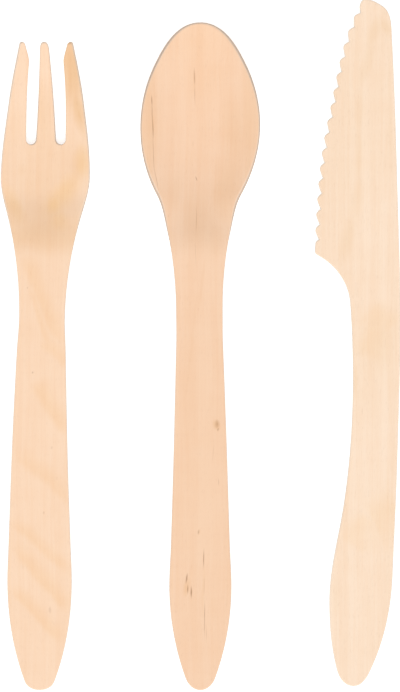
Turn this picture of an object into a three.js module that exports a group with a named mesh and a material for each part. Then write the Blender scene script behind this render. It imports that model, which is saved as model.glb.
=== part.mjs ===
// A set of disposable wooden cutlery: a fork, a spoon and a knife, side by side on a table.
// Each is punched from one sheet of birch veneer. The fork and the spoon are then pressed,
// so that they rest on the handle's end and on the underside of the head; the knife stays flat.
// Millimetres, +Z up. Handles point towards -Y, tips towards +Y.
import * as THREE from 'three';
import { mergeVertices } from 'three/addons/utils/BufferGeometryUtils.js';

// The sheet.
const VENEER = 1.6; // thickness
const EDGE_ROUND = 0.3; // tumbled edges
const EDGE_STEPS = 2; // flats round each tumbled edge

// How the three lie beside each other.
const FORK_TO_SPOON = 13.7; // clear width between the fork's palm and the spoon's bowl
const SPOON_TO_KNIFE = 13.35; // clear width between the spoon's bowl and the knife's heel
const KNIFE_SHIFT = 0.9; // how far the knife's end lies behind the other two

// An outline runs through stations. Each has its width or its place across, its place from
// the handle's end or from the tip, and the heading there in degrees from +Y towards +X.

// Spoon outline.
const SPOON_LENGTH = 159.9;
const SPOON_END = { width: 7.2, fromEnd: 3, heading: 19.7 };
const SPOON_GRIP = { width: 14.9, fromEnd: 25, heading: 0 };
const SPOON_TAPER = { width: 14.1, fromEnd: 35, heading: -1.8 };
const SPOON_TAPER_END = { width: 11.2, fromTip: 76.8, heading: -1.8 };
const SPOON_WAIST = { width: 11.15, fromTip: 68.9, heading: 0 };
const SPOON_FLARE = { width: 14.85, fromTip: 50.3, heading: 11.6 };
const SPOON_SHOULDER = { width: 20.05, fromTip: 40.8, heading: 28.7 };
const SPOON_BOWL = { width: 28.45, fromTip: 24.8, heading: 0 };
const SPOON_CROWN = { width: 21.75, fromTip: 10.4, heading: -25.8 };

// Spoon pressing and the small warp of its wood.
const SPOON_CREASE_FROM_TIP = 53; // where the handle turns down into the bowl
const SPOON_CREASE_ROUND = 3; // half the length of that turn
const SPOON_DIVE = 0.3; // slope down from the crease
const SPOON_DIVE_FROM_TIP = 49; // where that slope starts to ease
const SPOON_BELLY_FROM_TIP = 32; // lowest place of the bowl
const SPOON_TIP_SLOPE = 0.24; // slope at the tip
const SPOON_DISH = 4; // how far the bowl's sides stand above its middle
const SPOON_DISH_BLEND = 12; // length over which that hollow begins
const SPOON_BOW = 0.35; // how far its neck stands to the left of its ends
const SPOON_BOW_START = 49; // from the handle's end
const SPOON_BOW_PEAK_FROM_TIP = 44;
const SPOON_BOW_END_FROM_TIP = 21;

// Fork outline.
const FORK_LENGTH = 155.3;
const FORK_END = { width: 7.15, fromEnd: 2.1, heading: 20.4 };
const FORK_GRIP = { width: 15.45, fromEnd: 26.2, heading: 0 };
const FORK_TAPER = { width: 14.95, fromEnd: 33.7, heading: -2.1 };
const FORK_TAPER_END = { width: 11.7, fromTip: 74, heading: -2.1 };
const FORK_WAIST = { width: 10.95, fromTip: 66.3, heading: 0 };
const FORK_FLARE = { width: 18.3, fromTip: 40.1, heading: 15.4 };
const FORK_PALM = { width: 21.25, fromTip: 32.4, heading: 0 };
const FORK_SIDE = { width: 17.8, fromTip: 14.5, heading: -7.4 };
const FORK_OUTER_TIP = { width: 12.72, fromTip: 0.55, heading: -11.5 };
const FORK_OUTER_APEX = { width: 11.5, fromTip: 0, heading: -90 };
const FORK_INNER_TIP = { width: 10.18, fromTip: 0.55, heading: -166 };
const FORK_INNER_CORNER = { width: 8.5, fromTip: 3.75, heading: -168 };
const FORK_SLOT_MOUTH = { width: 8.55, fromTip: 5.9, heading: -185.3 };
const FORK_TINE_LENGTH = 24.45; // from the tips to the bottom of a slot
const FORK_TINE_ROOT_WIDTH = 4.65; // middle tine beside the slots' bottoms
const FORK_TINE_TIP_WIDTH = 2.25; // middle tine just below its rounded tip
const FORK_TINE_TIP_ROUND = 2.4; // length of that rounded tip
const FORK_SLOT_WIDTH = 2.5; // at the slot's bottom

// Fork pressing and the small warp of its wood.
const FORK_CREASE_FROM_TIP = 48.5;
const FORK_CREASE_ROUND = 3;
const FORK_DIVE = 0.27;
const FORK_DIVE_FROM_TIP = 40;
const FORK_BELLY_FROM_TIP = 35.5;
const FORK_TIP_SLOPE = 0.2;
const FORK_DISH = 1.5;
const FORK_DISH_BLEND = 10;
const FORK_LEAN = 1.68; // how far the head stands to the right of the handle's axis
const FORK_LEAN_START = 46; // from the handle's end
const FORK_LEAN_LENGTH = 106;
const FORK_TINE_STRAY = 0.53; // how far the middle tine's tip has warped to the left

// Knife outline, measured across from an axis in the blade.
const KNIFE_LENGTH = 164.85;
const KNIFE_END = { across: -5.5, fromEnd: 0, heading: 90 };
const KNIFE_END_SPINE = { across: -1.7, fromEnd: 3.25, heading: 26 };
const KNIFE_GRIP_SPINE = { across: 3.9, fromEnd: 26.7, heading: 2.3 };
const KNIFE_SPINE_START = { across: 4.98, fromEnd: 52.7, heading: 1.7 };
const KNIFE_SPINE = { across: 5.75, fromTip: 77, heading: 0 };
const KNIFE_SPINE_BEND = { across: 5.17, fromTip: 49, heading: -1.7 };
const KNIFE_SPINE_TIP = { across: 3.75, fromTip: 9.4, heading: -3.2 };
const KNIFE_TIP_SLANT = { across: 1.4, fromTip: 1.65, heading: -57 };
const KNIFE_TIP = { across: -2.55, fromTip: 0, heading: -85 };
const KNIFE_TIP_CORNER = { across: -4.05, fromTip: 1.9, heading: -175 };
const KNIFE_EDGE_START = { across: -3.86, fromTip: 3.35, heading: 206.5 };
const KNIFE_EDGE_MIDDLE = { across: -10.78, fromTip: 29.6, heading: 192.7 };
const KNIFE_EDGE_END = { across: -13.78, fromTip: 57.75, heading: 183 };
const KNIFE_HEEL_LEAVE = 250; // heading from the last valley up to the heel
const KNIFE_HEEL = { across: -14.65, fromTip: 58.7, heading: 180.4 };
const KNIFE_HEEL_UNDER = { across: -14.25, fromTip: 61.4, heading: 117.5 };
const KNIFE_THROAT = { across: -6.3, fromTip: 72.9, heading: 175.4 };
const KNIFE_WAIST = { across: -5.65, fromEnd: 73.8, heading: 180 };
const KNIFE_GRIP = { across: -7.95, fromEnd: 42.9, heading: 189 };
const KNIFE_BELLY = { across: -11.3, fromEnd: 20.3, heading: 180 };
const KNIFE_END_BELLY = { across: -9.45, fromEnd: 3.8, heading: 165 };
const TOOTH_COUNT = 15; // whole teeth between the tip's corner and the heel
const TOOTH_HEIGHT = 1;
const TOOTH_STEEP_SIDE = 0.32; // shares of a tooth that shape its side towards the tip
const TOOTH_LONG_SIDE = 0.37; // and its longer side towards the heel

// How closely flat facets follow the real curves.
const OUTLINE_TOLERANCE = 0.04;
const PRESS_TOLERANCE = 0.06;

const EAST = 90; // heading across the handle's end
const WEST = -90; // heading across a tip or a slot's bottom
const BACK = -180; // heading towards the handle's end

/** Adds the curve from the path's end to a point, leaving and arriving at the given headings.
    Where the turn is even it is very nearly a circle's arc. */
function sweepTo(path, leave, x, y, arrive) {
  const from = path.currentPoint.clone();
  const to = new THREE.Vector2(x, y);
  const turn = THREE.MathUtils.degToRad(arrive - leave);
  const reach = from.distanceTo(to) / (3 * Math.cos(turn / 4) ** 2);
  const ahead = (heading) => {
    const angle = THREE.MathUtils.degToRad(heading);
    return new THREE.Vector2(Math.sin(angle), Math.cos(angle)).multiplyScalar(reach);
  };
  const first = from.clone().add(ahead(leave));
  const second = to.clone().sub(ahead(arrive));
  path.bezierCurveTo(first.x, first.y, second.x, second.y, to.x, to.y);
}

/** A station's place along a piece, from the handle's end. */
function along(station, length) {
  return station.fromEnd ?? length - station.fromTip;
}

/** Continues a path through stations from a first heading. Returns the last one's heading. */
function sweepThrough(path, heading, stations, length) {
  for (const station of stations) {
    const x = station.across ?? station.width / 2;
    sweepTo(path, heading, x, along(station, length), station.heading);
    heading = station.heading;
  }
  return heading;
}

/** The points of a path, no closer together than its curves need. */
function trace(path) {
  const points = [path.curves[0].getPoint(0)];
  for (const curve of path.curves) {
    let steps = 1;
    while (sag(curve, steps) > OUTLINE_TOLERANCE) {
      steps += 1;
    }
    points.push(...curve.getPoints(steps).slice(1));
  }
  return points;
}

/** How far the middle of any of a curve's equal steps stands off its chord. */
function sag(curve, steps) {
  let most = 0;
  for (let i = 0; i < steps; i += 1) {
    const chord = curve.getPoint(i / steps).add(curve.getPoint((i + 1) / steps));
    const middle = curve.getPoint((i + 0.5) / steps);
    most = Math.max(most, middle.distanceTo(chord.multiplyScalar(0.5)));
  }
  return most;
}

/** The whole outline of a piece that is the same on both sides of its axis. */
function mirrored(half) {
  const right = trace(half);
  const left = right.slice(1, -1).reverse();
  return [...right, ...left.map((point) => new THREE.Vector2(-point.x, point.y))];
}

/** A flat blank of veneer with tumbled edges, as merged points and triangles. */
function punch(outline) {
  const blank = new THREE.ExtrudeGeometry(new THREE.Shape(outline), {
    depth: VENEER - 2 * EDGE_ROUND,
    bevelThickness: EDGE_ROUND,
    bevelSize: EDGE_ROUND,
    bevelOffset: -EDGE_ROUND,
    bevelSegments: EDGE_STEPS,
    steps: 1,
  });
  blank.translate(0, 0, EDGE_ROUND);
  blank.deleteAttribute('normal');
  blank.deleteAttribute('uv');
  return mergeVertices(blank);
}

/** Halves edges until none would leave the pressed surface by more than the tolerance. */
function refine(blank, height) {
  const position = blank.getAttribute('position');
  const points = [];
  for (let i = 0; i < position.count; i += 1) {
    points.push(new THREE.Vector3().fromBufferAttribute(position, i));
  }
  let faces = [];
  const index = blank.getIndex();
  for (let i = 0; i < index.count; i += 3) {
    faces.push([index.getX(i), index.getX(i + 1), index.getX(i + 2)]);
  }
  let middles = halvedEdges(faces, points, height);
  while (middles.size > 0) {
    faces = splitFaces(faces, points, middles);
    middles = halvedEdges(faces, points, height);
  }
  const refined = new THREE.BufferGeometry().setFromPoints(points);
  refined.setIndex(faces.flat());
  return refined;
}

/** The three edges of a triangle, each as its two corners. */
function edgesOf(face) {
  return face.map((corner, i) => [corner, face[(i + 1) % 3]]);
}

function edgeName([a, b]) {
  return `${Math.min(a, b)} ${Math.max(a, b)}`;
}

/** The edges to halve, each with the index of its new middle point. Where one edge of a triangle
    is bent, its longest edge is halved too, which keeps the triangles from growing ever thinner. */
function halvedEdges(faces, points, height) {
  const middles = new Map();
  const halve = (edge) => {
    const [a, b] = edge.map((corner) => points[corner]);
    middles.set(edgeName(edge), points.length);
    points.push(a.clone().add(b).multiplyScalar(0.5));
  };
  const halved = (edge) => middles.has(edgeName(edge));
  const length = ([a, b]) => points[a].distanceTo(points[b]);
  for (const face of faces) {
    const bent = edgesOf(face).filter((edge) => bends(points[edge[0]], points[edge[1]], height));
    bent.filter((edge) => !halved(edge)).forEach(halve);
  }
  let spreading = middles.size > 0;
  while (spreading) {
    spreading = false;
    for (const face of faces) {
      const edges = edgesOf(face);
      const longest = edges.reduce((a, b) => (length(b) > length(a) ? b : a));
      if (edges.some(halved) && !halved(longest)) {
        halve(longest);
        spreading = true;
      }
    }
  }
  return middles;
}

/** Whether an edge of the flat blank, once pressed, would bow away from a straight line. */
function bends(a, b, height) {
  const start = height(a.x, a.y);
  const end = height(b.x, b.y);
  return [0.25, 0.5, 0.75].some((share) => {
    const x = THREE.MathUtils.lerp(a.x, b.x, share);
    const y = THREE.MathUtils.lerp(a.y, b.y, share);
    const chord = THREE.MathUtils.lerp(start, end, share);
    return Math.abs(height(x, y) - chord) > PRESS_TOLERANCE;
  });
}

/** The triangles after some of their edges are halved, each with its corners in the same order. */
function splitFaces(faces, points, middles) {
  return faces.flatMap((face) => {
    const cuts = edgesOf(face).map((edge) => middles.get(edgeName(edge)));
    const count = cuts.filter((cut) => cut !== undefined).length;
    // Turns the triangle so that its only halved or only whole edge comes first.
    const first = cuts.findIndex((cut) => (cut !== undefined) === (count === 1));
    const start = count === 3 ? 0 : first;
    const [a, b, c] = [0, 1, 2].map((i) => face[(start + i) % 3]);
    const [ab, bc, ca] = [0, 1, 2].map((i) => cuts[(start + i) % 3]);
    if (count === 0) {
      return [face];
    }
    if (count === 1) {
      return [[a, ab, c], [ab, b, c]];
    }
    if (count === 3) {
      return [[a, ab, ca], [ab, b, bc], [ca, bc, c], [ab, bc, ca]];
    }
    if (points[a].distanceTo(points[bc]) < points[b].distanceTo(points[ca])) {
      return [[a, b, bc], [a, bc, ca], [ca, bc, c]];
    }
    return [[a, b, ca], [b, bc, ca], [ca, bc, c]];
  });
}

/** Bends a blank so that its middle plane follows the height and its thickness stays square to it. */
function press(blank, height) {
  const pressed = refine(blank, height);
  const position = pressed.getAttribute('position');
  const point = new THREE.Vector3();
  const square = new THREE.Vector3();
  const probe = 0.01;
  for (let i = 0; i < position.count; i += 1) {
    point.fromBufferAttribute(position, i);
    const acrossSlope = (height(point.x + probe, point.y) - height(point.x - probe, point.y)) / (2 * probe);
    const alongSlope = (height(point.x, point.y + probe) - height(point.x, point.y - probe)) / (2 * probe);
    square.set(-acrossSlope, -alongSlope, 1).setLength(point.z - VENEER / 2);
    point.z = VENEER / 2 + height(point.x, point.y);
    point.add(square);
    position.setXYZ(i, point.x, point.y, point.z);
  }
  return pressed;
}

/** Moves a piece sideways by a distance that depends on the place, as its wood has warped. */
function warp(piece, shift) {
  const position = piece.getAttribute('position');
  for (let i = 0; i < position.count; i += 1) {
    const x = position.getX(i);
    position.setX(i, x + shift(x, position.getY(i)));
  }
  return piece;
}

/** Height along a piece from zero at its end, where the slope changes evenly between stations. */
function heightAlong(stations) {
  return (y) => {
    let height = 0;
    for (let i = 1; i < stations.length; i += 1) {
      const before = stations[i - 1];
      const after = stations[i];
      const run = THREE.MathUtils.clamp(y, before.y, after.y) - before.y;
      const slope = THREE.MathUtils.lerp(before.slope, after.slope, run / (after.y - before.y));
      height += (run * (before.slope + slope)) / 2;
    }
    return height;
  };
}

/** The centre line of a pressed piece: up the handle, over the crease, down to the belly and up to
    the tip. The handle's slope is the one that lets its end and the belly both touch the table. */
function centreLine({ length, crease, creaseRound, dive, diveEnd, belly, tipSlope }) {
  const drop = dive * (diveEnd - crease + (belly - diveEnd) / 2);
  const handleSlope = drop / crease;
  return heightAlong([
    { y: 0, slope: handleSlope },
    { y: crease - creaseRound, slope: handleSlope },
    { y: crease + creaseRound, slope: -dive },
    { y: diveEnd, slope: -dive },
    { y: belly, slope: 0 },
    { y: length, slope: tipSlope },
  ]);
}

/** Height of a dished section: hollow in the middle and straighter towards the edges. */
function dished(x, halfWidth, depth) {
  const square = (x / halfWidth) ** 2;
  const straighter = 0.62;
  return depth * ((1 + straighter) * square - straighter * square ** 2);
}

function makeSpoonGeometry() {
  const half = new THREE.Path().moveTo(0, 0);
  const heading = sweepThrough(half, EAST, [
    SPOON_END, SPOON_GRIP, SPOON_TAPER, SPOON_TAPER_END, SPOON_WAIST,
    SPOON_FLARE, SPOON_SHOULDER, SPOON_BOWL, SPOON_CROWN,
  ], SPOON_LENGTH);
  sweepTo(half, heading, 0, SPOON_LENGTH, WEST);

  const crease = SPOON_LENGTH - SPOON_CREASE_FROM_TIP;
  const line = centreLine({
    length: SPOON_LENGTH,
    crease,
    creaseRound: SPOON_CREASE_ROUND,
    dive: SPOON_DIVE,
    diveEnd: SPOON_LENGTH - SPOON_DIVE_FROM_TIP,
    belly: SPOON_LENGTH - SPOON_BELLY_FROM_TIP,
    tipSlope: SPOON_TIP_SLOPE,
  });
  const height = (x, y) => {
    const begun = THREE.MathUtils.smoothstep(y, crease, crease + SPOON_DISH_BLEND);
    return line(y) + begun * dished(x, SPOON_BOWL.width / 2, SPOON_DISH);
  };
  const bowPeak = SPOON_LENGTH - SPOON_BOW_PEAK_FROM_TIP;
  const bowEnd = SPOON_LENGTH - SPOON_BOW_END_FROM_TIP;
  const bow = (x, y) => {
    const begun = THREE.MathUtils.smoothstep(y, SPOON_BOW_START, bowPeak);
    const ended = THREE.MathUtils.smoothstep(y, bowPeak, bowEnd);
    return -SPOON_BOW * (begun - ended);
  };
  return warp(press(punch(mirrored(half)), height), bow);
}

/** The right half of the fork's outline, from the handle's end to the middle tine's tip. */
function forkHalf() {
  const half = new THREE.Path().moveTo(0, 0);
  const heading = sweepThrough(half, EAST, [
    FORK_END, FORK_GRIP, FORK_TAPER, FORK_TAPER_END, FORK_WAIST, FORK_FLARE, FORK_PALM,
    FORK_SIDE, FORK_OUTER_TIP, FORK_OUTER_APEX, FORK_INNER_TIP, FORK_INNER_CORNER, FORK_SLOT_MOUTH,
  ], FORK_LENGTH);

  const slotRound = FORK_SLOT_WIDTH / 2;
  const slotBottom = FORK_LENGTH - FORK_TINE_LENGTH;
  const rootHalf = FORK_TINE_ROOT_WIDTH / 2;
  const tipHalf = FORK_TINE_TIP_WIDTH / 2;
  sweepTo(half, heading, rootHalf + FORK_SLOT_WIDTH, slotBottom + slotRound, BACK);
  sweepTo(half, BACK, rootHalf + slotRound, slotBottom, WEST);
  sweepTo(half, WEST, rootHalf, slotBottom + slotRound, 0);
  const taperRun = FORK_TINE_LENGTH - slotRound - FORK_TINE_TIP_ROUND;
  const taper = -THREE.MathUtils.radToDeg(Math.atan((rootHalf - tipHalf) / taperRun));
  sweepTo(half, taper, tipHalf, FORK_LENGTH - FORK_TINE_TIP_ROUND, taper);
  sweepTo(half, taper, 0, FORK_LENGTH, WEST);
  return half;
}

function makeForkGeometry() {
  const crease = FORK_LENGTH - FORK_CREASE_FROM_TIP;
  const line = centreLine({
    length: FORK_LENGTH,
    crease,
    creaseRound: FORK_CREASE_ROUND,
    dive: FORK_DIVE,
    diveEnd: FORK_LENGTH - FORK_DIVE_FROM_TIP,
    belly: FORK_LENGTH - FORK_BELLY_FROM_TIP,
    tipSlope: FORK_TIP_SLOPE,
  });
  const height = (x, y) => {
    const begun = THREE.MathUtils.smoothstep(y, crease, crease + FORK_DISH_BLEND);
    return line(y) + begun * dished(x, FORK_PALM.width / 2, FORK_DISH);
  };
  const slotBottom = FORK_LENGTH - FORK_TINE_LENGTH;
  const slotMiddle = (FORK_TINE_ROOT_WIDTH + FORK_SLOT_WIDTH) / 2;
  const leanEnd = FORK_LEAN_START + FORK_LEAN_LENGTH;
  const lean = (x, y) => {
    const upTine = Math.max(y - slotBottom, 0) / FORK_TINE_LENGTH;
    const stray = Math.abs(x) < slotMiddle ? FORK_TINE_STRAY * upTine ** 2 : 0;
    return FORK_LEAN * THREE.MathUtils.smoothstep(y, FORK_LEAN_START, leanEnd) - stray;
  };
  return warp(press(punch(mirrored(forkHalf())), height), lean);
}

/** One tooth between two valleys of the knife's edge, steeper on the side of the tip. */
function addTooth(path, valley) {
  const from = path.currentPoint.clone();
  const pitch = valley.clone().sub(from);
  const out = new THREE.Vector2(pitch.y, -pitch.x).setLength(TOOTH_HEIGHT / 0.75);
  const first = from.clone().addScaledVector(pitch, TOOTH_STEEP_SIDE).add(out);
  const second = from.clone().addScaledVector(pitch, TOOTH_LONG_SIDE).add(out);
  path.bezierCurveTo(first.x, first.y, second.x, second.y, valley.x, valley.y);
}

function makeKnifeGeometry() {
  const outline = new THREE.Path().moveTo(KNIFE_END.across, 0);
  sweepThrough(outline, KNIFE_END.heading, [
    KNIFE_END_SPINE, KNIFE_GRIP_SPINE, KNIFE_SPINE_START, KNIFE_SPINE, KNIFE_SPINE_BEND,
    KNIFE_SPINE_TIP, KNIFE_TIP_SLANT, KNIFE_TIP, KNIFE_TIP_CORNER,
  ], KNIFE_LENGTH);
  outline.lineTo(KNIFE_EDGE_START.across, along(KNIFE_EDGE_START, KNIFE_LENGTH));

  const edge = new THREE.Path().moveTo(outline.currentPoint.x, outline.currentPoint.y);
  sweepThrough(edge, KNIFE_EDGE_START.heading, [KNIFE_EDGE_MIDDLE, KNIFE_EDGE_END], KNIFE_LENGTH);
  for (let i = 1; i <= TOOTH_COUNT; i += 1) {
    addTooth(outline, edge.getPointAt(i / TOOTH_COUNT));
  }

  sweepThrough(outline, KNIFE_HEEL_LEAVE, [
    KNIFE_HEEL, KNIFE_HEEL_UNDER, KNIFE_THROAT, KNIFE_WAIST,
    KNIFE_GRIP, KNIFE_BELLY, KNIFE_END_BELLY, KNIFE_END,
  ], KNIFE_LENGTH);
  return punch(trace(outline).slice(0, -1));
}

/** Bare birch, each piece in the tone of its own sheet. */
function birch(color) {
  return new THREE.MeshStandardMaterial({ color, roughness: 0.62, metalness: 0 });
}

function makePiece(name, geometry, material, x, y) {
  const piece = new THREE.Mesh(geometry, material);
  piece.name = name;
  piece.position.set(x, y, 0);
  return piece;
}

const forkX = -(SPOON_BOWL.width + FORK_PALM.width) / 2 - FORK_TO_SPOON;
const knifeX = SPOON_BOWL.width / 2 + SPOON_TO_KNIFE - KNIFE_HEEL.across;

const set = new THREE.Group();
set.name = 'wooden_cutlery_set';
set.add(
  makePiece('fork', makeForkGeometry(), birch(0xf8d7b9), forkX, 0),
  makePiece('spoon', makeSpoonGeometry(), birch(0xf5d1b2), 0, 0),
  makePiece('knife', makeKnifeGeometry(), birch(0xfbe1c7), knifeX, KNIFE_SHIFT),
);

// The origin is the middle of the set's box, on the table.
const box = new THREE.Box3().setFromObject(set, true);
const middle = box.getCenter(new THREE.Vector3());
set.position.set(-middle.x, -middle.y, -box.min.z);

export default set;
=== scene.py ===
# The looks of a set of disposable wooden cutlery: a fork, a spoon and a knife of bare birch veneer.
# Each piece is drawn in millimetres on its own flat sheet, with x across and y from the handle's end
# to the tip, then pressed to shape and seated in the frame, which is in metres.
import math

import bpy
import numpy as np
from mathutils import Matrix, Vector
from mathutils.geometry import delaunay_2d_cdt


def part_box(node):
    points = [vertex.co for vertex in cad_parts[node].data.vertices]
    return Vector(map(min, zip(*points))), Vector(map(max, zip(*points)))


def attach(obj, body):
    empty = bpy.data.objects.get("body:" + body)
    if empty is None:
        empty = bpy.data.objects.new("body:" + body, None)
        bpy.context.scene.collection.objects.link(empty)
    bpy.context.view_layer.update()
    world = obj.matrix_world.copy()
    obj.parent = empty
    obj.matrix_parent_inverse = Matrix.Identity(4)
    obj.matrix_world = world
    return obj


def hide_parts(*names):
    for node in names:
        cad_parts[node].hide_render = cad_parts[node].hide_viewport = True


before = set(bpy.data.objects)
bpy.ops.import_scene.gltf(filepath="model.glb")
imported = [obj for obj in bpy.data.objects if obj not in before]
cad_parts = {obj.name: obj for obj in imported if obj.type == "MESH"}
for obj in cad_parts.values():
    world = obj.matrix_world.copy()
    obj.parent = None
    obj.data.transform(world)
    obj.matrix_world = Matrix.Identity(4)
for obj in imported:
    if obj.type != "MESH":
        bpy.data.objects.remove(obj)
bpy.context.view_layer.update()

MM = 0.001

# The sheet.
VENEER = 1.6
EDGE_ROUND = 0.3

# How fine the meshes are. The turn is in degrees, and the clearance is a share of the grid's step.
OUTLINE_STEP = 0.5
TURN_STEP = 9
TOOTH_LINE_STEP = 0.1
TOOTH_STEP = 0.28
GRID_STEP = 1.1
GRID_CLEARANCE = 0.55
ROUND_STEPS = 4
WALL_STEPS = 3
HOLDING_RING = 0.14
SLOPE_PROBE = 0.01

# An outline runs through stations: (x, y, heading), with the heading in degrees from +Y towards +X.
WEST, NORTH, EAST, SOUTH = -90, 0, 90, -180

# How far a pressed dish levels off towards its rim. At 0 its section would be a parabola.
DISH_LEVELLING = 0.62

# Spoon.
SPOON_LENGTH = 159.9
SPOON_HALF = [
    (0, 0, EAST),
    (3.6, 3, 19.7),
    (7.45, 25, NORTH),
    (7.05, 35, -1.8),
    (5.6, SPOON_LENGTH - 76.8, -1.8),
    (5.575, SPOON_LENGTH - 68.9, NORTH),
    (7.425, SPOON_LENGTH - 50.3, 11.6),
    (10.025, SPOON_LENGTH - 40.8, 28.7),
    (14.225, SPOON_LENGTH - 24.8, NORTH),
    (10.875, SPOON_LENGTH - 10.4, -25.8),
    (0, SPOON_LENGTH, WEST),
]
SPOON_PRESS = dict(
    length=SPOON_LENGTH,
    crease=SPOON_LENGTH - 53,
    crease_round=3,
    dive=0.3,
    dive_end=SPOON_LENGTH - 49,
    belly=SPOON_LENGTH - 32,
    tip_slope=0.24,
    half_width=14.225,
    dish=4,
    dish_blend=12,
)
SPOON_BOW = 0.35
SPOON_BOW_PLACES = (49, SPOON_LENGTH - 44, SPOON_LENGTH - 21)

# Fork.
FORK_LENGTH = 155.3
FORK_TINE_ROOT = FORK_LENGTH - 24.45
FORK_SLOT_ROUND = 1.25
FORK_TINE_ROOT_HALF = 2.325
FORK_TINE_TIP_HALF = 1.125
FORK_TINE_TAPER = -3.3
FORK_HALF = [
    (0, 0, EAST),
    (3.575, 2.1, 20.4),
    (7.725, 26.2, NORTH),
    (7.475, 33.7, -2.1),
    (5.85, FORK_LENGTH - 74, -2.1),
    (5.475, FORK_LENGTH - 66.3, NORTH),
    (9.15, FORK_LENGTH - 40.1, 15.4),
    (10.625, FORK_LENGTH - 32.4, NORTH),
    (8.9, FORK_LENGTH - 14.5, -7.4),
    (6.36, FORK_LENGTH - 0.55, -11.5),
    (5.75, FORK_LENGTH, WEST),
    (5.09, FORK_LENGTH - 0.55, -166),
    (4.25, FORK_LENGTH - 3.75, -168),
    (4.275, FORK_LENGTH - 5.9, -185.3),
    (FORK_TINE_ROOT_HALF + 2 * FORK_SLOT_ROUND, FORK_TINE_ROOT + FORK_SLOT_ROUND, SOUTH),
    (FORK_TINE_ROOT_HALF + FORK_SLOT_ROUND, FORK_TINE_ROOT, WEST),
    (FORK_TINE_ROOT_HALF, FORK_TINE_ROOT + FORK_SLOT_ROUND, FORK_TINE_TAPER),
    (FORK_TINE_TIP_HALF, FORK_LENGTH - 2.4, FORK_TINE_TAPER),
    (0, FORK_LENGTH, WEST),
]
FORK_PRESS = dict(
    length=FORK_LENGTH,
    crease=FORK_LENGTH - 48.5,
    crease_round=3,
    dive=0.27,
    dive_end=FORK_LENGTH - 40,
    belly=FORK_LENGTH - 35.5,
    tip_slope=0.2,
    half_width=10.625,
    dish=1.5,
    dish_blend=10,
)
FORK_LEAN = 1.68
FORK_LEAN_PLACES = (46, 152)
FORK_TINE_STRAY = 0.53

# Knife, with x measured from an axis in the blade.
KNIFE_LENGTH = 164.85
KNIFE_SPINE_SIDE = [
    (-5.5, 0, EAST),
    (-1.7, 3.25, 26),
    (3.9, 26.7, 2.3),
    (4.98, 52.7, 1.7),
    (5.75, KNIFE_LENGTH - 77, NORTH),
    (5.17, KNIFE_LENGTH - 49, -1.7),
    (3.75, KNIFE_LENGTH - 9.4, -3.2),
    (1.4, KNIFE_LENGTH - 1.65, -57),
    (-2.55, KNIFE_LENGTH, -85),
    (-4.05, KNIFE_LENGTH - 1.9, -175),
]
KNIFE_EDGE_LINE = [
    (-3.86, KNIFE_LENGTH - 3.35, 206.5),
    (-10.78, KNIFE_LENGTH - 29.6, 192.7),
    (-13.78, KNIFE_LENGTH - 57.75, 183),
]
KNIFE_GRIP_SIDE = [
    (-13.78, KNIFE_LENGTH - 57.75, 250),
    (-14.65, KNIFE_LENGTH - 58.7, 180.4),
    (-14.25, KNIFE_LENGTH - 61.4, 117.5),
    (-6.3, KNIFE_LENGTH - 72.9, 175.4),
    (-5.65, 73.8, 180),
    (-7.95, 42.9, 189),
    (-11.3, 20.3, 180),
    (-9.45, 3.8, 165),
    (-5.5, 0, EAST),
]
TOOTH_COUNT = 15
TOOTH_HEIGHT = 1
TOOTH_STEEP_SIDE = 0.32
TOOTH_LONG_SIDE = 0.37

# The wood's tones: gains on a piece's own colour, and tints that are laid over it. Flecks and pores
# are of one colour, and pores show only a little of it.
LIGHT_WOOD = (1.012, 1.03, 1.05)
DARK_WOOD = (0.985, 0.955, 0.925)
# Painted light: the fork's and knife's cut walls are painted paler and bluer, to lift the shade on their
# edges.
CUT_PAINTED_LIGHT = (0.96, 1.05, 1.15)
GREY_CUT = (0.78, 0.87, 0.98)
DEEP_CUT = (0.86, 0.86, 0.86)
# The stains' tint. It also lays the painted shade on the pressed slopes and on the spoon bowl's sides.
STAIN_AND_SHADE_TINT = (0.905, 0.815, 0.66)
# The bands' tint. It also lays the painted shade across the fork's crease.
BAND_TINT = (0.96, 0.85, 0.67)
AMBER_TINT = (1.0, 0.93, 0.72)
# Painted light: the rounded edges are painted paler and bluer, to lift the shade they get as they turn
# away from the light.
ROUNDED_EDGE_PAINTED_LIGHT = (0.95, 1.05, 1.17)
FLECK_COLOR = (0.30, 0.13, 0.05)
PORE_STRENGTH = 0.07

# The wood's figure, in layers of noise. A layer's features have a size across the grain, along it and
# through the sheet, and the tone takes a share of each of the first five.
BROAD_BANDS = (2.6, 90, 4)
NARROW_BANDS = (0.55, 22, 1.2)
FIBRES = (0.13, 5, 0.2)
CROSS_FIGURE = (9, 4.5, 9)
CLOUDS = (11, 26, 11)
PORES = (0.11, 1.5, 0.3)
CUT_LAYERS = (1.2, 1.2, 0.16)
TONE_SHARES = (0.34, 0.22, 0.14, 0.14, 0.16)

# Between which values of its noise a layer goes from nothing to full.
TONE_RANGE = (0.38, 0.62)
PORE_RANGE = (0.63, 0.74)
TORN_RANGE = (0.3, 0.6)
CUT_LAYER_RANGE = (0.35, 0.65)
ROUGH_RANGE = (0.3, 0.7)

# How far places drift across and along the grain, with noise of a size, so that nothing looks ruled.
GRAIN_DRIFT = dict(across=1.6, along=0.0, size=18)
STAIN_AND_SHADE_DRIFT = dict(across=1.8, along=3.0, size=7)
FLECK_DRIFT = dict(across=0.35, along=0.0, size=2.5)

# How marks fade, in units of their own half sizes, and how deep they go into the sheet. A fleck is
# weaker where the fibres' noise is low.
SPOT_FADE = (0.1, 1.0)
BAND_ENDS = (0.6, 1.1)
BAND_RISE = (-0.25, 0.15)
BAND_FALL = (0.15, 1.0)
BAND_DEPTH_FADE = (0.8, 1.0)
MARK_DEPTH = 0.6
TORN_STRENGTH = (0.45, 1.0)

# Where the wood turns to its rounded edge and then to its cut wall, from 0 on the face to 1 on the wall.
ROUNDED_BEGINS = (0.1, 0.6)
WALL_BEGINS = (0.7, 1.0)

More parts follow.
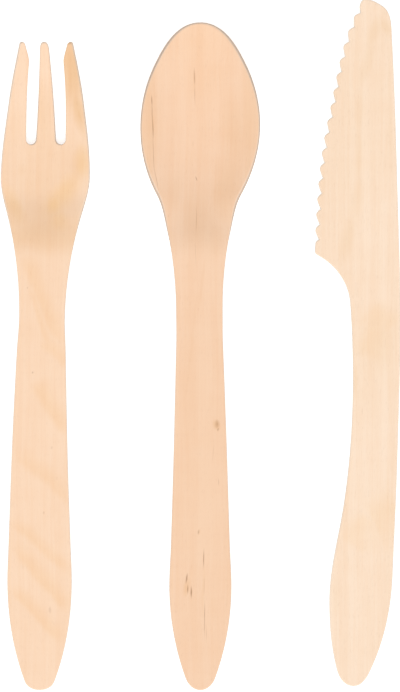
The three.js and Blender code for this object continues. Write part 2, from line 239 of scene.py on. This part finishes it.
# The wood's surface. The reliefs are in units of the fibres' own relief, and BUMP_HEIGHT is in mm.
FACE_ROUGHNESS = (0.56, 0.66)
CUT_ROUGHER = 0.2
SPECULAR = 0.3
PORE_RELIEF = -0.9
FLECK_RELIEF = -0.8
CUT_RELIEF = 3.0
BUMP_STRENGTH = 0.7
BUMP_HEIGHT = 0.02

# Marks in the photo. A fleck, a stain or an amber patch is (x, y, width, length, heading, strength),
# and a band is (start, end, width, strength), all on the piece's own sheet. A few of the stains and one
# band are painted shade, as noted where they stand.
SPOON_FLECKS = [
    (-1.5, 147.2, 0.5, 5.6, 0, 0.48),
    (-1.4, 142.6, 0.3, 7, 0, 0.42),
    (-11.9, 141.3, 0.5, 3.4, -5, 0.65),
    (-11.75, 137.5, 0.3, 12, -2, 0.5),
    (-11.6, 134.6, 0.42, 7, -2, 0.62),
    (-11.35, 128.6, 0.27, 13, -5, 0.45),
    (-10.6, 122.6, 0.25, 9, -12, 0.38),
    (-0.75, 122.6, 0.45, 1.7, -20, 0.5),
    (-1.8, 130.9, 0.25, 2.4, 0, 0.35),
    (-0.65, 112.5, 0.25, 10, 2, 0.32),
    (-0.8, 104.5, 0.22, 8, -2, 0.22),
    (4.05, 63.9, 1.6, 3, 0, 0.35),
    (4.05, 63.9, 0.8, 1.5, 0, 0.45),
    (4.3, 62.6, 0.5, 1.2, 10, 0.5),
    (3.1, 57, 0.22, 6, 4, 0.22),
    (4.4, 50, 0.4, 2.4, 0, 0.25),
    (-0.5, 38, 0.6, 1.6, 10, 0.4),
    (0.8, 31.6, 0.42, 6.5, 2, 0.56),
    (0.95, 25, 0.2, 6, 0, 0.3),
    (-3.3, 26.9, 0.55, 3.4, 8, 0.75),
    (-3.05, 24.3, 0.45, 3, 0, 0.6),
    (-2.2, 23.6, 0.55, 4, 0, 0.85),
    (1.0, 17.2, 0.36, 12, 0, 0.5),
    (1.4, 13.6, 0.22, 7, 0, 0.25),
]
SPOON_STAINS_AND_SHADE = [
    # This one and the fourth make the lower right of the bowl darker and warmer.
    (7, 120, 11, 26, 14, 0.35),
    # Painted shade: the next two darken both sides of the bowl, where its inner slopes turn from the
    # light.
    (-12.2, 136, 7, 44, 0, 0.35),
    (12.4, 137, 7, 44, 0, 0.39),
    (8.5, 134, 11, 28, -4, 0.29),
    (3.6, 108, 7, 16, 6, 0.24),
    (-2.4, 79, 1.5, 54, 7.6, 0.21),
    (0.6, 97, 1.3, 26, 6, 0.21),
    (-6, 119, 5, 14, 10, 0.14),
    (0, 64, 9, 26, 0, 0.11),
    (3.5, 20, 4, 20, -4, 0.14),
    (0, 48, 28, 130, 0, 0.16),
    (0, 155, 26, 18, 0, 0.2),
    # Painted shade: a broad darkening across the neck's slope below the crease.
    (0.5, 112, 16, 22, 0, 0.2),
    (0, 147, 20, 20, 0, 0.16),
    (4.05, 63.9, 3, 4.4, 0, 0.7),
    (-2.9, 25.2, 2.6, 7.5, 10, 0.65),
    (0.9, 24, 1.3, 26, 0, 0.35),
    (-0.5, 38, 1.4, 3.4, 10, 0.4),
    (-11.6, 136, 1.5, 12, -2, 0.5),
    (-1.5, 146, 1.6, 13, 0, 0.3),
]
FORK_FLECKS = [
    (5.75, 155.2, 1.6, 1.3, 0, 0.45),
    (-1.95, 76.2, 0.6, 0.9, 0, 0.35),
    (2.9, 58.2, 0.7, 1.2, 0, 0.2),
    (1.05, 42.6, 0.7, 1.2, 0, 0.2),
    (2.5, 19.3, 1.0, 2.4, 0, 0.24),
    (-3.6, 96.5, 0.5, 0.8, 0, 0.25),
]
FORK_STAINS_AND_SHADE = [
    (6.0, 149, 9.5, 30, -8, 1.0),
    (7.8, 139.5, 4.6, 20, -14, 0.85),
    (8.1, 138.2, 1.8, 10, -20, 1.0),
    (8.3, 126.5, 8, 14, 10, 0.45),
    (4.4, 119.3, 7, 17, 41, 0.3),
    (2.8, 116.0, 7, 9, 30, 0.2),
    (-6.8, 114.5, 9, 12, -30, 0.39),
    # Partly painted shade, partly brown tone: a darkening across the slope below the crease.
    (0, 110.3, 26, 12, 0, 0.2),
    (-0.2, 137.5, 5, 26, 0, 0.32),
    (-7.8, 134, 6, 18, 8, 0.17),
    (-5.9, 124.7, 5, 8, 0, 0.28),
    (1.3, 128.5, 5, 7, 20, 0.28),
    (0, 121, 30, 44, 0, 0.24),
]
FORK_BANDS = [
    ((-6.0, 104), (4.4, 82), 4.6, 0.38),
    ((-3.6, 96.8), (1.8, 81), 2.6, 0.3),
    ((-0.6, 83.5), (6.5, 76.5), 4.4, 0.34),
    ((-2.6, 74), (6.1, 61), 5.2, 0.42),
    ((-6.6, 57), (7.3, 44), 4.6, 0.34),
    ((-7.4, 40.4), (7.4, 27), 3.4, 0.34),
    ((-7.0, 34.6), (7.2, 18), 4.2, 0.4),
    ((-7.4, 25), (5.4, 10.6), 4.2, 0.38),
    # Partly painted shade, partly brown tone: a band across the whole neck, sharp at the crease and
    # fading along the slope towards the tines.
    ((-16, 106), (16, 106), 12, 0.4),
]
FORK_AMBERS = [
    (4.6, 118.8, 8, 19, 41, 0.55),
    (2.4, 116.0, 6, 9, 20, 0.75),
    (9.0, 126.5, 5, 12, 0, 0.5),
    (-7.8, 117, 5, 14, -25, 0.4),
    (3.4, 112.5, 7, 8, 0, 0.4),
]
KNIFE_FLECKS = [
    (-3.4, 66, 0.3, 2.5, 0, 0.15),
]
KNIFE_STAINS = [
    (-0.4, 157, 4, 13, 24, 0.3),
    (-2.3, 149.5, 4.2, 18, 14, 0.3),
    (-3.8, 137.5, 5, 20, 4, 0.24),
    (-4.5, 128, 3.6, 20, 0, 0.28),
    (-4.8, 117, 5.5, 18, 8, 0.24),
    (-7.0, 107.5, 5, 18, 14, 0.28),
    (-10.6, 140, 2.6, 30, 16, 0.2),
    (-12.4, 122, 2.6, 26, 8, 0.16),
    (1.2, 81, 10, 22, 0, 0.2),
    (-6, 132, 24, 60, 8, 0.12),
    (-4, 78, 24, 40, 0, 0.1),
    (-5.2, 73.4, 2.4, 14, 0, 0.3),
    (3.2, 134, 2, 40, -2, 0.15),
    (-9.8, 22, 2.6, 18, 0, 0.22),
    (2.3, 158.2, 4, 7, -30, 0.35),
]
KNIFE_BANDS = [
    ((5.4, 87.2), (0.3, 92.4), 10, 0.27),
    ((0.3, 92.4), (-4.8, 79.6), 8, 0.3),
    ((4.8, 45.6), (-3.2, 41.8), 15, 0.32),
    ((-3.2, 41.8), (-8.2, 35), 9, 0.27),
]

# Each piece's own wood. The seed shifts the noise, so that no two have the same figure.
SPOON_WOOD = dict(
    color=(0.945, 0.652, 0.452),
    cut_tint=GREY_CUT,
    seed=37,
    flecks=SPOON_FLECKS,
    stains_and_shade=SPOON_STAINS_AND_SHADE,
)
FORK_WOOD = dict(
    color=(0.975, 0.702, 0.5),
    cut_tint=CUT_PAINTED_LIGHT,
    seed=211,
    flecks=FORK_FLECKS,
    stains_and_shade=FORK_STAINS_AND_SHADE,
    bands=FORK_BANDS,
    ambers=FORK_AMBERS,
)
KNIFE_WOOD = dict(
    color=(0.988, 0.768, 0.582),
    cut_tint=CUT_PAINTED_LIGHT,
    seed=503,
    flecks=KNIFE_FLECKS,
    stains_and_shade=KNIFE_STAINS,
    bands=KNIFE_BANDS,
)

# The view: straight down, with the photo's frame of 400 by 692 pixels. A pixel is 0.24 mm.
PHOTO_ROWS = 692
PIXEL = 0.24
FRAME_HEIGHT = PHOTO_ROWS * PIXEL * MM
VIEW_MIDDLE = (-0.15 * MM, -0.35 * MM)
CAMERA_HEIGHT = 1.6
CAMERA_REACH = 20
SENSOR = 36

# The table, a little under the pieces, and the light. Angles are in degrees.
FLOOR_HALF = 4.0
FLOOR_DROP = 0.05
FLOOR_WHITE = 0.9
FLOOR_GLOW = 0.58
SKY_STRENGTH = 0.72
SUN_STRENGTH = 1.22
SUN_SPREAD = 40
SUN_TILT = 45


def cubic(points, count):
    """Points along a cubic curve, without its first one."""
    t = np.linspace(0, 1, count + 1)[1:, None]
    a, b, c, d = (np.asarray(p, float) for p in points)
    return (1 - t) ** 3 * a + 3 * (1 - t) ** 2 * t * b + 3 * (1 - t) * t**2 * c + t**3 * d


def ahead(heading, reach):
    """The step that goes as far as the reach along a heading."""
    angle = math.radians(heading)
    return reach * np.array([math.sin(angle), math.cos(angle)])


def sweep(start, end, step):
    """The curve between two stations, as close to an arc as their headings allow."""
    p, q = np.array(start[:2], float), np.array(end[:2], float)
    chord = np.linalg.norm(q - p)
    turn = math.radians(end[2] - start[2])
    reach = chord / (3 * math.cos(turn / 4) ** 2)
    count = max(2, math.ceil(chord / step), math.ceil(abs(turn) / math.radians(TURN_STEP)))
    return cubic((p, p + ahead(start[2], reach), q - ahead(end[2], reach), q), count)


def run_through(stations, step=OUTLINE_STEP):
    """The points of a run of stations, from the first to the last."""
    points = [np.array([stations[0][:2]], float)]
    for start, end in zip(stations, stations[1:]):
        points.append(sweep(start, end, step))
    return np.vstack(points)


def mirrored(half):
    """A whole outline from its right half."""
    left = half[-2:0:-1] * (-1, 1)
    return np.vstack([half, left])


def teeth():
    """The knife's toothed edge, from just below the tip's corner to the last valley. A tooth is a
    cubic, which stands out by 0.75 of what its two middle points do."""
    line = run_through(KNIFE_EDGE_LINE, step=TOOTH_LINE_STEP)
    gone = np.r_[0, np.cumsum(np.linalg.norm(np.diff(line, axis=0), axis=1))]
    places = np.linspace(0, gone[-1], TOOTH_COUNT + 1)
    valleys = np.column_stack([np.interp(places, gone, line[:, i]) for i in (0, 1)])
    points = [valleys[:1]]
    for a, b in zip(valleys, valleys[1:]):
        pitch = b - a
        out = np.array([pitch[1], -pitch[0]]) / np.linalg.norm(pitch) * TOOTH_HEIGHT / 0.75
        count = math.ceil(np.linalg.norm(pitch) / TOOTH_STEP)
        curve = (a, a + TOOTH_STEEP_SIDE * pitch + out, a + TOOTH_LONG_SIDE * pitch + out, b)
        points.append(cubic(curve, count))
    return np.vstack(points)


def knife_outline():
    spine = run_through(KNIFE_SPINE_SIDE)
    grip = run_through(KNIFE_GRIP_SIDE)
    return np.vstack([spine, teeth(), grip[1:-1]])


def inset(outline, depth):
    """The outline moved inwards. It runs anticlockwise, so that inwards is to its left. The floor of
    0.5 under the spread keeps a sharp corner from shooting out."""
    before = outline - np.roll(outline, 1, axis=0)
    after = np.roll(outline, -1, axis=0) - outline
    normals = []
    for edge in (before, after):
        edge = edge / np.linalg.norm(edge, axis=1)[:, None]
        normals.append(np.column_stack([-edge[:, 1], edge[:, 0]]))
    spread = 1 + (normals[0] * normals[1]).sum(1)
    return outline + depth * (normals[0] + normals[1]) / np.maximum(spread, 0.5)[:, None]


def inside(points, outline):
    """Which points lie inside a closed outline."""
    x, y = points[:, :1], points[:, 1:]
    x0, y0 = outline[:, 0], outline[:, 1]
    x1, y1 = np.roll(x0, -1), np.roll(y0, -1)
    spans = (y0 > y) != (y1 > y)
    with np.errstate(divide="ignore", invalid="ignore"):
        crossing = x0 + (y - y0) * (x1 - x0) / (y1 - y0)
    return (spans & (x < crossing)).sum(1) % 2 == 1


def grid_within(outline):
    """An even grid of points inside an outline, kept clear of its edge."""
    low, high = outline.min(0), outline.max(0)
    rows = np.arange(low[1], high[1], GRID_STEP * math.sqrt(3) / 2)
    points = []
    for i, y in enumerate(rows):
        xs = np.arange(low[0] + (i % 2) * GRID_STEP / 2, high[0], GRID_STEP)
        points.append(np.column_stack([xs, np.full(len(xs), y)]))
    points = np.vstack(points)
    points = points[inside(points, outline)]
    clearance = GRID_CLEARANCE * GRID_STEP
    return points[[np.min(np.linalg.norm(outline - p, axis=1)) > clearance for p in points]]


def fill(outline):
    """Triangles over the inside of an outline: its points, with a grid added, and the faces."""
    points = np.vstack([outline, grid_within(outline)])
    border = list(range(len(outline)))
    inner_triangles, too_close = 1, 1e-6
    made = delaunay_2d_cdt([Vector(p) for p in points], [], [border], inner_triangles, too_close)
    _, _, faces, origins = made[:4]
    index = [origin[0] for origin in origins]
    return points, [[index[i] for i in face] for face in faces]


def edge_section():
    """The section of a sheet's rounded edge, from just inside the top face to just inside the bottom
    one. Each place has its depth inwards, its height and how far it is on the cut edge, from 0 to 1."""
    half = VENEER / 2
    section = [(EDGE_ROUND + HOLDING_RING, half, 0.0)]
    for i in range(ROUND_STEPS + 1):
        angle = math.pi / 2 * (1 - i / ROUND_STEPS)
        place = EDGE_ROUND * (1 - math.cos(angle)), half - EDGE_ROUND * (1 - math.sin(angle))
        section.append((*place, 1 - angle / (math.pi / 2)))
    top = section[::-1]
    for i in range(1, WALL_STEPS):
        section.append((0.0, (half - EDGE_ROUND) * (1 - 2 * i / WALL_STEPS), 1.0))
    return section + [(depth, -z, edge) for depth, z, edge in top]


def blank(outline):
    """A flat sheet with rounded edges: its points, faces, and how far each point is on the cut edge."""
    section = edge_section()
    count = len(outline)
    points, edges, faces = [], [], []
    for depth, z, edge in section:
        points.append(np.column_stack([inset(outline, depth), np.full(count, z)]))
        edges += [edge] * count
    for ring in range(len(section) - 1):
        above, below = ring * count, (ring + 1) * count
        for i in range(count):
            j = (i + 1) % count
            faces.append([above + i, below + i, below + j, above + j])

    cap, cap_faces = fill(points[0][:, :2])
    grid = cap[count:]
    first_grid = len(section) * count
    last_ring = first_grid - count
    for side, ring_start, z in ((1, 0, VENEER / 2), (-1, last_ring, -VENEER / 2)):
        places = [*range(ring_start, ring_start + count), *range(first_grid, first_grid + len(grid))]
        first_grid += len(grid)
        points.append(np.column_stack([grid, np.full(len(grid), z)]))
        edges += [0.0] * len(grid)
        faces += [[places[i] for i in face][::side] for face in cap_faces]
    return np.vstack(points), faces, np.array(edges)


def smoothstep(value, low, high):
    t = np.clip((value - low) / (high - low), 0, 1)
    return t * t * (3 - 2 * t)


def centre_line(y, press):
    """Height along the middle of a pressed piece. The slope changes evenly between its places, and
    the handle's slope lets both the handle's end and the belly touch the table."""
    dive, crease = press["dive"], press["crease"]
    handle = dive * (press["dive_end"] - crease + (press["belly"] - press["dive_end"]) / 2) / crease
    places = [
        (0, handle),
        (crease - press["crease_round"], handle),
        (crease + press["crease_round"], -dive),
        (press["dive_end"], -dive),
        (press["belly"], 0),
        (press["length"], press["tip_slope"]),
    ]
    height = np.zeros_like(y)
    for (y0, slope0), (y1, slope1) in zip(places, places[1:]):
        run = np.clip(y, y0, y1) - y0
        slope = slope0 + (slope1 - slope0) * run / (y1 - y0)
        height += run * (slope0 + slope) / 2
    return height


def pressed_height(x, y, press):
    """Height of a pressed piece's middle surface: its centre line with the dish's hollow added."""
    square = (x / press["half_width"]) ** 2
    hollow = press["dish"] * ((1 + DISH_LEVELLING) * square - DISH_LEVELLING * square**2)
    begun = smoothstep(y, press["crease"], press["crease"] + press["dish_blend"])
    return centre_line(y, press) + begun * hollow


def press_sheet(sheet, press):
    """The sheet's points once pressed, with its thickness kept square to the surface."""
    x, y, z = sheet.T
    probe = SLOPE_PROBE
    right, left = pressed_height(x + probe, y, press), pressed_height(x - probe, y, press)
    beyond, before = pressed_height(x, y + probe, press), pressed_height(x, y - probe, press)
    across, along = (right - left) / (2 * probe), (beyond - before) / (2 * probe)
    square = np.column_stack([-across, -along, np.ones_like(x)])
    square /= np.linalg.norm(square, axis=1)[:, None]
    middle = np.column_stack([x, y, pressed_height(x, y, press)])
    return middle + square * z[:, None]


def spoon_bow(x, y):
    """How far the spoon's wood has warped sideways: its neck stands a little to the left."""
    start, peak, end = SPOON_BOW_PLACES
    return -SPOON_BOW * (smoothstep(y, start, peak) - smoothstep(y, peak, end))


def fork_lean(x, y):
    """How far the fork's wood has warped: its head leans right and its middle tine strays left."""
    up_tine = np.clip((y - FORK_TINE_ROOT) / (FORK_LENGTH - FORK_TINE_ROOT), 0, None)
    middle = np.abs(x) < FORK_TINE_ROOT_HALF + FORK_SLOT_ROUND
    return FORK_LEAN * smoothstep(y, *FORK_LEAN_PLACES) - middle * FORK_TINE_STRAY * up_tine**2


def warp(points, shift):
    """The pressed points moved sideways. The shift is told by the place on the pressed piece."""
    points[:, 0] += shift(points[:, 0], points[:, 1])
    return points


def make_piece(node, points, faces, sheet, edge, material):
    """A mesh over the CAD solid that it replaces, box centre on box centre. It keeps each point's
    place on the flat sheet and how far it is on the cut edge, for the material."""
    low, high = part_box(node)
    centre = (points.min(0) + points.max(0)) / 2
    points = (points - centre) * MM + np.array((low + high) / 2)
    mesh = bpy.data.meshes.new(f"birch_{node}")
    mesh.from_pydata(points.tolist(), [], faces)
    mesh.attributes.new("sheet", "FLOAT_VECTOR", "POINT").data.foreach_set("vector", sheet.ravel())
    mesh.attributes.new("cut_edge", "FLOAT", "POINT").data.foreach_set("value", edge)
    mesh.shade_smooth()
    mesh.materials.append(material)
    piece = bpy.data.objects.new(f"birch_{node}", mesh)
    bpy.context.scene.collection.objects.link(piece)
    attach(piece, "root")
    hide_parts(node)


def tinted(color, gain):
    """A colour times a gain, with full alpha."""
    return (*(c * g for c, g in zip(color, gain)), 1)


class Graph:
    """A material's nodes, added one after another."""

    def __init__(self, material):
        material.use_nodes = True
        self.tree = material.node_tree
        self.shader = self.tree.nodes["Principled BSDF"]

    def add(self, kind, inputs, **settings):
        node = self.tree.nodes.new(kind)
        for name, value in settings.items():
            setattr(node, name, value)
        for place, value in inputs.items():
            self.feed(node.inputs[place], value)
        return node

    def feed(self, socket, value):
        if isinstance(value, bpy.types.NodeSocket):
            self.tree.links.new(value, socket)
        else:
            socket.default_value = value

    def math(self, operation, a, b=0.0):
        return self.add("ShaderNodeMath", {0: a, 1: b}, operation=operation).outputs[0]

    def vector(self, operation, *inputs, output="Vector"):
        node = self.add("ShaderNodeVectorMath", dict(enumerate(inputs)), operation=operation)
        return node.outputs[output]

    def attribute(self, name, output):
        return self.add("ShaderNodeAttribute", {}, attribute_name=name).outputs[output]

    def remap(self, value, span, to=(0.0, 1.0)):
        """The value eased from one end of a range to the other while it crosses the span."""
        node = self.add("ShaderNodeMapRange", {"Value": value}, interpolation_type="SMOOTHSTEP")
        for socket, end in zip(("From Min", "From Max", "To Min", "To Max"), (*span, *to)):
            self.feed(node.inputs[socket], end)
        return node.outputs["Result"]

    def plus(self, total, part, share):
        return self.math("ADD", total, self.math("MULTIPLY", part, share))

    def strongest(self, values):
        total = values[0]
        for value in values[1:]:
            total = self.math("MAXIMUM", total, value)
        return total

    def noise(self, place, size, detail=2.0, output=0):
        """Noise whose features have a size across the grain, along it and through the sheet."""
        scaled = self.vector("MULTIPLY", place, tuple(1 / s for s in size))
        inputs = {"Vector": scaled, "Scale": 1.0, "Detail": detail}
        return self.add("ShaderNodeTexNoise", inputs).outputs[output]

    def drift(self, place, across, along, size):
        """The place moved by up to about half of the given distances."""
        cloud = self.noise(place, (size, 2 * size, 1), output=1)
        centred = self.vector("SUBTRACT", cloud, (0.5, 0.5, 0.5))
        return self.vector("MULTIPLY_ADD", centred, (across, along, 0), place)

    def local(self, place, x, y, half_across, half_along, turn):
        """The place from a mark's middle on the top face, in units of the mark's half sizes."""
        inputs = {
            "Vector": place,
            "Location": (x, y, VENEER / 2),
            "Rotation": (0, 0, math.radians(turn)),
            "Scale": (half_across, half_along, MARK_DEPTH),
        }
        return self.add("ShaderNodeMapping", inputs, vector_type="TEXTURE").outputs[0]

    def spot(self, place, x, y, width, length, heading, strength):
        """A long soft mark: its strength in the middle and nothing outside its ellipse."""
        within = self.local(place, x, y, width / 2, length / 2, -heading)
        gone = self.vector("LENGTH", within, output="Value")
        return self.remap(gone, SPOT_FADE, (strength, 0.0))

    def band(self, place, start, end, width, strength):
        """A tan band: sharp along the line between two places and fading out to the line's left."""
        (x0, y0), (x1, y1) = start, end
        angle = math.degrees(math.atan2(y1 - y0, x1 - x0))
        half = math.hypot(x1 - x0, y1 - y0) / 2
        within = self.local(place, (x0 + x1) / 2, (y0 + y1) / 2, half, width, angle)
        along, out, through = self.add("ShaderNodeSeparateXYZ", {0: within}).outputs
        ends = self.remap(self.math("ABSOLUTE", along), BAND_ENDS, (strength, 0.0))
        depth = self.remap(self.math("ABSOLUTE", through), BAND_DEPTH_FADE, (1.0, 0.0))
        side = self.math("MULTIPLY", self.remap(out, BAND_RISE), self.remap(out, BAND_FALL, (1.0, 0.0)))
        return self.math("MULTIPLY", self.math("MULTIPLY", side, ends), depth)

    def mix(self, factor, a, b, blend="MIX"):
        node = self.add("ShaderNodeMix", {}, data_type="RGBA", blend_type=blend)
        for socket, value in zip((node.inputs[0], node.inputs[6], node.inputs[7]), (factor, a, b)):
            self.feed(socket, value)
        return node.outputs[2]


def figured(graph, grain, wander, fibre, color):
    """Clean wood: a piece's colour, lighter and darker with broad soft bands, fine fibres, a faint
    cross figure and clouds."""
    parts = (
        graph.noise(wander, BROAD_BANDS),
        graph.noise(wander, NARROW_BANDS),
        fibre,
        graph.noise(grain, CROSS_FIGURE, detail=3),
        graph.noise(grain, CLOUDS),
    )
    tone = graph.math("MULTIPLY", parts[0], TONE_SHARES[0])
    for part, share in zip(parts[1:], TONE_SHARES[1:]):
        tone = graph.plus(tone, part, share)
    return graph.mix(graph.remap(tone, TONE_RANGE), tinted(color, LIGHT_WOOD), tinted(color, DARK_WOOD))


def stained_and_shaded(graph, wood, sheet, stains_and_shade, bands, ambers):
    """The wood with its stains, bands and amber patches laid over it. A few of the stains and one band
    are painted shade.
    """
    loose = graph.drift(sheet, **STAIN_AND_SHADE_DRIFT)
    coats = (
        (STAIN_AND_SHADE_TINT, [graph.spot(loose, *darkening) for darkening in stains_and_shade]),
        (BAND_TINT, [graph.band(loose, *band) for band in bands]),
        (AMBER_TINT, [graph.spot(loose, *patch) for patch in ambers]),
    )
    for tint, marks in coats:
        if marks:
            wood = graph.mix(graph.strongest(marks), wood, (*tint, 1), blend="MULTIPLY")
    return wood


def with_cut_edge(graph, wood, cut, layers, color, cut_tint):
    """The wood with its rounded edge painted paler and bluer, as painted light against the shade that
    the edge gets, and a wall in thin layers of the cut's tint, which is also painted paler on the fork
    and knife and is greyer end grain on the spoon.
    """
    ends = tinted(color, cut_tint)
    wall = graph.mix(graph.remap(layers, CUT_LAYER_RANGE), ends, tinted(ends, DEEP_CUT))
    # Painted light: the rounded edge painted paler against its shade.
    rounded = graph.mix(1.0, wood, (*ROUNDED_EDGE_PAINTED_LIGHT, 1), blend="MULTIPLY")
    wood = graph.mix(graph.remap(cut, ROUNDED_BEGINS), wood, rounded)
    return graph.mix(graph.remap(cut, WALL_BEGINS), wood, wall)


def birch(name, color, cut_tint, seed, flecks, stains_and_shade, bands=(), ambers=()):
    """Bare birch veneer with the grain along y, pores, a rougher cut edge with painted light on it, and
    a piece's marks, among which the spoon's and fork's include some painted shade.
    """
    material = bpy.data.materials.new(name)
    graph = Graph(material)
    sheet = graph.attribute("sheet", "Vector")
    cut = graph.attribute("cut_edge", "Fac")
    grain = graph.vector("ADD", sheet, (seed, seed, seed))
    wander = graph.drift(grain, **GRAIN_DRIFT)
    fibre = graph.noise(wander, FIBRES, detail=3)
    pores = graph.remap(graph.noise(wander, PORES, detail=1), PORE_RANGE)
    layers = graph.noise(sheet, CUT_LAYERS, detail=3)
    close = graph.drift(sheet, **FLECK_DRIFT)
    dots = graph.strongest([graph.spot(close, *fleck) for fleck in flecks])
    dots = graph.math("MULTIPLY", dots, graph.remap(fibre, TORN_RANGE, TORN_STRENGTH))

    wood = figured(graph, grain, wander, fibre, color)
    wood = graph.mix(graph.math("MULTIPLY", pores, PORE_STRENGTH), wood, (*FLECK_COLOR, 1))
    wood = stained_and_shaded(graph, wood, sheet, stains_and_shade, bands, ambers)
    wood = graph.mix(dots, wood, (*FLECK_COLOR, 1))
    wood = with_cut_edge(graph, wood, cut, layers, color, cut_tint)
    graph.feed(graph.shader.inputs["Base Color"], wood)

    rough = graph.plus(graph.remap(fibre, ROUGH_RANGE, FACE_ROUGHNESS), cut, CUT_ROUGHER)
    graph.feed(graph.shader.inputs["Roughness"], rough)
    graph.shader.inputs["Specular IOR Level"].default_value = SPECULAR

    raised = graph.plus(fibre, pores, PORE_RELIEF)
    raised = graph.plus(raised, dots, FLECK_RELIEF)
    raised = graph.plus(raised, graph.math("MULTIPLY", layers, cut), CUT_RELIEF)
    inputs = {"Strength": BUMP_STRENGTH, "Distance": BUMP_HEIGHT * MM, "Height": raised}
    bump = graph.add("ShaderNodeBump", inputs)
    graph.feed(graph.shader.inputs["Normal"], bump.outputs[0])
    return material


def make_fork():
    sheet, faces, edge = blank(mirrored(run_through(FORK_HALF)))
    points = warp(press_sheet(sheet, FORK_PRESS), fork_lean)
    make_piece("fork", points, faces, sheet, edge, birch("fork_birch", **FORK_WOOD))


def make_spoon():
    sheet, faces, edge = blank(mirrored(run_through(SPOON_HALF)))
    points = warp(press_sheet(sheet, SPOON_PRESS), spoon_bow)
    make_piece("spoon", points, faces, sheet, edge, birch("spoon_birch", **SPOON_WOOD))


def make_knife():
    """The knife isn't pressed: its points are those of the sheet."""
    sheet, faces, edge = blank(knife_outline())
    make_piece("knife", sheet, faces, sheet, edge, birch("knife_birch", **KNIFE_WOOD))


def make_camera():
    camera = bpy.data.cameras.new("camera")
    camera.sensor_width = SENSOR
    camera.lens = camera.sensor_width * CAMERA_HEIGHT / FRAME_HEIGHT
    camera.clip_end = CAMERA_REACH
    stand = bpy.data.objects.new("camera", camera)
    stand.location = (*VIEW_MIDDLE, CAMERA_HEIGHT)
    bpy.context.scene.collection.objects.link(stand)
    bpy.context.scene.camera = stand


def make_floor():
    """A plain white table. The camera sees it a little brighter than it is lit, so that it shows
    white and still keeps the pieces' shadow."""
    mesh = bpy.data.meshes.new("floor")
    signs = ((-1, -1), (1, -1), (1, 1), (-1, 1))
    corners = [(x * FLOOR_HALF, y * FLOOR_HALF, -FLOOR_DROP * MM) for x, y in signs]
    mesh.from_pydata(corners, [], [(0, 1, 2, 3)])
    floor = bpy.data.objects.new("floor", mesh)
    bpy.context.scene.collection.objects.link(floor)
    material = bpy.data.materials.new("floor_white")
    graph = Graph(material)
    inputs = graph.shader.inputs
    inputs["Base Color"].default_value = (FLOOR_WHITE, FLOOR_WHITE, FLOOR_WHITE, 1)
    inputs["Roughness"].default_value = 1.0
    inputs["Specular IOR Level"].default_value = 0.0
    inputs["Emission Color"].default_value = (1, 1, 1, 1)
    seen = graph.add("ShaderNodeLightPath", {}).outputs["Is Camera Ray"]
    graph.feed(inputs["Emission Strength"], graph.math("MULTIPLY", seen, FLOOR_GLOW))
    mesh.materials.append(material)


def make_light():
    """Even light from all round, and a broad lamp above the handles' ends."""
    world = bpy.data.worlds.new("world")
    bpy.context.scene.world = world
    world.use_nodes = True
    sky = world.node_tree.nodes["Background"]
    sky.inputs["Color"].default_value = (1, 1, 1, 1)
    sky.inputs["Strength"].default_value = SKY_STRENGTH
    lamp = bpy.data.lights.new("key", "SUN")
    lamp.energy = SUN_STRENGTH
    lamp.angle = math.radians(SUN_SPREAD)
    stand = bpy.data.objects.new("key", lamp)
    stand.rotation_euler = (math.radians(SUN_TILT), 0, 0)
    bpy.context.scene.collection.objects.link(stand)


make_fork()
make_spoon()
make_knife()
make_camera()
make_floor()
make_light()
bpy.context.scene.view_settings.view_transform = "Standard"

bpy.context.view_layer.update()
